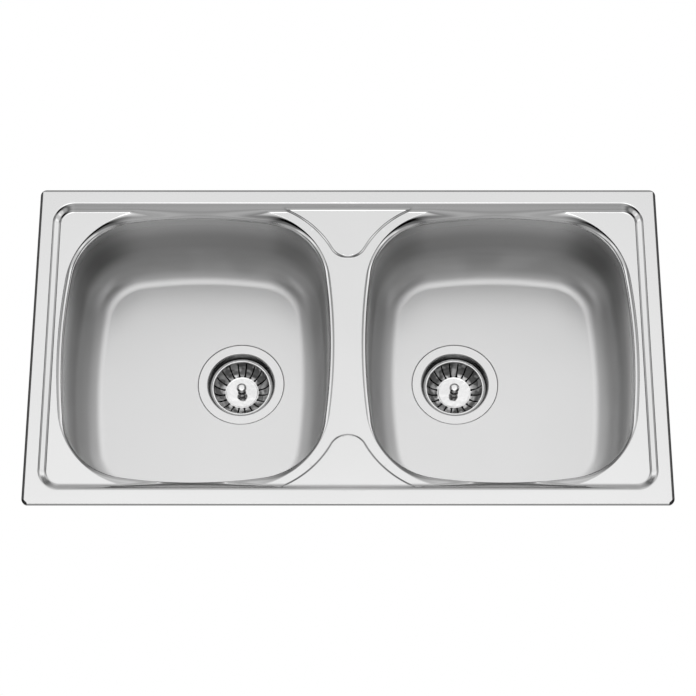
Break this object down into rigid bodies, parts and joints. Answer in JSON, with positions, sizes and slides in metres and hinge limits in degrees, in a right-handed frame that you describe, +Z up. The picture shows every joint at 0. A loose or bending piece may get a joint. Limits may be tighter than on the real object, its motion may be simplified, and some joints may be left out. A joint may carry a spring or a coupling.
{
  "type": "kitchen sink",
  "caption": "Inset stainless steel double bowl kitchen sink: pressed deck with raised rim, drawn bowls, basket strainers with lifting plugs and swing-out worktop clamps",
  "frame": {"origin": "middle of the sink's outline in the plane of the worktop that the rim seal rests on", "axes": "+X along the sink to the user's right, +Y away from the user, +Z up out of the worktop"},
  "size_m": [0.8, 0.435, 0.2045],
  "materials": {
    "satin_steel": "fine satin stainless steel",
    "bright_steel": "bright stainless steel",
    "basket_steel": "polished stainless steel",
    "seal_foam": "closed-cell foam strip",
    "damping_mat": "matt bitumen mat",
    "black_rubber": "moulded black rubber",
    "pale_gasket": "pale grey silicone gasket",
    "fibre_ring": "slippery pale plastic ring",
    "nut_plastic": "moulded off-white plastic",
    "zinc_plate": "bright zinc plated steel",
    "zinc_cast": "die-cast zinc, matt"
  },
  "bodies": {
    "sink": {"deck_panel": "satin_steel", "left_bowl": "satin_steel", "right_bowl": "satin_steel", "rim_seal": "seal_foam", "left_sound_pad": "damping_mat", "right_sound_pad": "damping_mat", "left_strainer_body": "bright_steel", "left_flange_gasket": "pale_gasket", "left_rubber_washer": "black_rubber", "left_friction_ring": "fibre_ring", "left_lock_nut": "nut_plastic", "right_strainer_body": "bright_steel", "right_flange_gasket": "pale_gasket", "right_rubber_washer": "black_rubber", "right_friction_ring": "fibre_ring", "right_lock_nut": "nut_plastic", "far_left_bracket": "zinc_plate", "far_middle_bracket": "zinc_plate", "far_right_bracket": "zinc_plate", "near_left_bracket": "zinc_plate", "near_middle_bracket": "zinc_plate", "near_right_bracket": "zinc_plate"},
    "left_basket": {"left_basket": "basket_steel"},
    "left_plug": {"left_knob": "basket_steel", "left_stopper": "black_rubber"},
    "right_basket": {"right_basket": "basket_steel"},
    "right_plug": {"right_knob": "basket_steel", "right_stopper": "black_rubber"},
    "far_left_screw": {"far_left_screw": "zinc_plate"},
    "far_left_claw": {"far_left_claw": "zinc_cast"},
    "far_middle_screw": {"far_middle_screw": "zinc_plate"},
    "far_middle_claw": {"far_middle_claw": "zinc_cast"},
    "far_right_screw": {"far_right_screw": "zinc_plate"},
    "far_right_claw": {"far_right_claw": "zinc_cast"},
    "near_left_screw": {"near_left_screw": "zinc_plate"},
    "near_left_claw": {"near_left_claw": "zinc_cast"},
    "near_middle_screw": {"near_middle_screw": "zinc_plate"},
    "near_middle_claw": {"near_middle_claw": "zinc_cast"},
    "near_right_screw": {"near_right_screw": "zinc_plate"},
    "near_right_claw": {"near_right_claw": "zinc_cast"}
  },
  "joints": [
    {"name": "left_basket_lift", "type": "slide", "parent": "sink", "child": "left_basket", "axis": [0, 0, 1], "range_m": [0, 0.11]},
    {"name": "left_plug_lift", "type": "slide", "parent": "left_basket", "child": "left_plug", "axis": [0, 0, 1], "range_m": [0, 0.008]},
    {"name": "right_basket_lift", "type": "slide", "parent": "sink", "child": "right_basket", "axis": [0, 0, 1], "range_m": [0, 0.11]},
    {"name": "right_plug_lift", "type": "slide", "parent": "right_basket", "child": "right_plug", "axis": [0, 0, 1], "range_m": [0, 0.008]},
    {"name": "far_left_swing", "type": "hinge", "parent": "sink", "child": "far_left_screw", "pos_m": [-0.335, 0.181, -0.04], "axis": [0, 0, -1], "range_deg": [0, 90]},
    {"name": "far_left_clamp", "type": "slide", "parent": "far_left_screw", "child": "far_left_claw", "axis": [0, 0, 1], "range_m": [0, 0.03]},
    {"name": "far_middle_swing", "type": "hinge", "parent": "sink", "child": "far_middle_screw", "pos_m": [0, 0.181, -0.04], "axis": [0, 0, 1], "range_deg": [0, 90]},
    {"name": "far_middle_clamp", "type": "slide", "parent": "far_middle_screw", "child": "far_middle_claw", "axis": [0, 0, 1], "range_m": [0, 0.03]},
    {"name": "far_right_swing", "type": "hinge", "parent": "sink", "child": "far_right_screw", "pos_m": [0.335, 0.181, -0.04], "axis": [0, 0, 1], "range_deg": [0, 90]},
    {"name": "far_right_clamp", "type": "slide", "parent": "far_right_screw", "child": "far_right_claw", "axis": [0, 0, 1], "range_m": [0, 0.03]},
    {"name": "near_left_swing", "type": "hinge", "parent": "sink", "child": "near_left_screw", "pos_m": [-0.335, -0.181, -0.04], "axis": [0, 0, 1], "range_deg": [0, 90]},
    {"name": "near_left_clamp", "type": "slide", "parent": "near_left_screw", "child": "near_left_claw", "axis": [0, 0, 1], "range_m": [0, 0.03]},
    {"name": "near_middle_swing", "type": "hinge", "parent": "sink", "child": "near_middle_screw", "pos_m": [0, -0.181, -0.04], "axis": [0, 0, 1], "range_deg": [0, 90]},
    {"name": "near_middle_clamp", "type": "slide", "parent": "near_middle_screw", "child": "near_middle_claw", "axis": [0, 0, 1], "range_m": [0, 0.03]},
    {"name": "near_right_swing", "type": "hinge", "parent": "sink", "child": "near_right_screw", "pos_m": [0.335, -0.181, -0.04], "axis": [0, 0, -1], "range_deg": [0, 90]},
    {"name": "near_right_clamp", "type": "slide", "parent": "near_right_screw", "child": "near_right_claw", "axis": [0, 0, 1], "range_m": [0, 0.03]}
  ]
}
